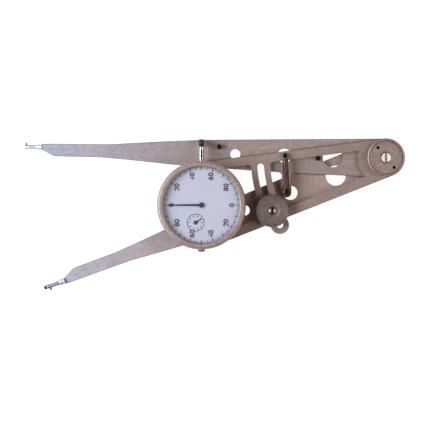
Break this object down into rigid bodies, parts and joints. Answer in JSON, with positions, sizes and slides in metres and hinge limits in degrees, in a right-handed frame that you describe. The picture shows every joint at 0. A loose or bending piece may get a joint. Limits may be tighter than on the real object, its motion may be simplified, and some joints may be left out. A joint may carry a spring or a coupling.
{
  "type": "dial caliper gauge",
  "caption": "Inside caliper gauge with a round dial: one arm is sprung and drives the pointer, the other is clamped on a slotted quadrant.",
  "frame": {"origin": "the pivot axis, on the flat back face of the pivot", "axes": "+Z towards the dial's reader along the pivot axis; -X from the pivot along the upper measuring arm; -Y towards the lower arm"},
  "size_m": [0.2471, 0.0987, 0.0265],
  "materials": {
    "arm_steel": "satin nickel",
    "frame_steel": "satin nickel, warmer",
    "bezel_steel": "satin chrome",
    "dark_steel": "turned, dark",
    "black_steel": "blackened",
    "bright_steel": "polished",
    "spring_wire": "bronzed",
    "brass": "satin",
    "dial_white": "matt enamel",
    "black_paint": "satin black",
    "clear_glass": "clear crystal"
  },
  "bodies": {
    "frame": {"dial_frame": "frame_steel", "pivot_axle": "dark_steel", "pivot_nut": "dark_steel", "pivot_screw": "bright_steel", "pivot_shim_rear": "brass", "pivot_shim_lower": "brass", "pivot_shim_upper": "brass", "pivot_shim_front": "brass", "frame_spring_pin": "black_steel", "return_spring": "spring_wire", "gauge_case": "bezel_steel", "gauge_back_cover": "bezel_steel", "gauge_mount_screw_1": "dark_steel", "gauge_mount_screw_2": "dark_steel", "gauge_mount_screw_3": "dark_steel", "back_cover_screw_1": "dark_steel", "back_cover_screw_2": "dark_steel", "back_cover_screw_3": "dark_steel", "movement_back_plate": "brass", "movement_middle_plate": "brass", "movement_front_plate": "brass", "movement_pillar_1": "brass", "movement_pillar_2": "brass", "movement_pillar_3": "brass", "upper_plunger_bush": "bright_steel", "lower_plunger_bush": "bright_steel", "plunger_cap": "bright_steel", "dial_center_plate": "dial_white"},
    "bezel": {"bezel": "bezel_steel", "crystal": "clear_glass", "dial_scale_ring": "dial_white"},
    "plunger": {"plunger": "bright_steel", "plunger_tip": "bright_steel"},
    "counter": {"counter_arbor": "bright_steel", "counter_gear": "brass", "counter_hand": "black_paint"},
    "pointer": {"center_arbor": "bright_steel", "main_pointer": "black_paint", "pointer_cap": "black_paint"},
    "upper_arm": {"upper_arm": "arm_steel", "lug_spring_pin": "black_steel", "rest_stop_pin": "black_steel", "travel_stop_pin": "black_steel", "anvil_post": "dark_steel", "anvil_collar": "arm_steel", "upper_tip_ferrule": "bright_steel", "upper_tip_shank": "bright_steel", "upper_contact_pin": "bright_steel"},
    "lower_arm": {"lower_arm": "arm_steel", "clamp_stud": "dark_steel", "clamp_washer": "bright_steel", "knob_screw": "bright_steel", "lower_tip_ferrule": "bright_steel", "lower_tip_shank": "bright_steel", "lower_contact_pin": "black_steel"},
    "clamp_knob": {"clamp_knob": "dark_steel"}
  },
  "joints": [
    {"name": "upper_arm_hinge", "type": "hinge", "parent": "frame", "child": "upper_arm", "pos_m": [0, 0, 0], "axis": [0, 0, 1], "range_deg": [0, 3.55], "stiffness_Nm_per_rad": 1.5, "springref_deg": -8.59, "deforming": ["return_spring"]},
    {"name": "lower_arm_hinge", "type": "hinge", "parent": "frame", "child": "lower_arm", "pos_m": [0, 0, 0], "axis": [0, 0, 1], "range_deg": [-17.5, 7]},
    {"name": "clamp_knob_turn", "type": "hinge", "parent": "lower_arm", "child": "clamp_knob", "pos_m": [-0.07381, -0.03458, 0], "axis": [0, 0, 1], "range_deg": [0, 360]},
    {"name": "bezel_turn", "type": "hinge", "parent": "frame", "child": "bezel", "pos_m": [-0.11978, -0.03089, 0], "axis": [0, 0, 1], "continuous": true},
    {"name": "plunger_slide", "type": "slide", "parent": "frame", "child": "plunger", "axis": [0, -1, 0], "range_m": [0, 0.0075]},
    {"name": "counter_turn", "type": "hinge", "parent": "frame", "child": "counter", "pos_m": [-0.12355, -0.04219, 0], "axis": [0, 0, 1], "range_deg": [-261, 0]},
    {"name": "pointer_turn", "type": "hinge", "parent": "frame", "child": "pointer", "pos_m": [-0.11978, -0.03089, 0], "axis": [0, 0, 1], "range_deg": [0, 2605]}
  ],
  "couplings": [
    {"joint": "plunger_slide", "follows": "upper_arm_hinge", "m_per_rad": 0.11978},
    {"joint": "counter_turn", "follows": "upper_arm_hinge", "ratio": -73.351},
    {"joint": "pointer_turn", "follows": "upper_arm_hinge", "ratio": 733.51}
  ]
}
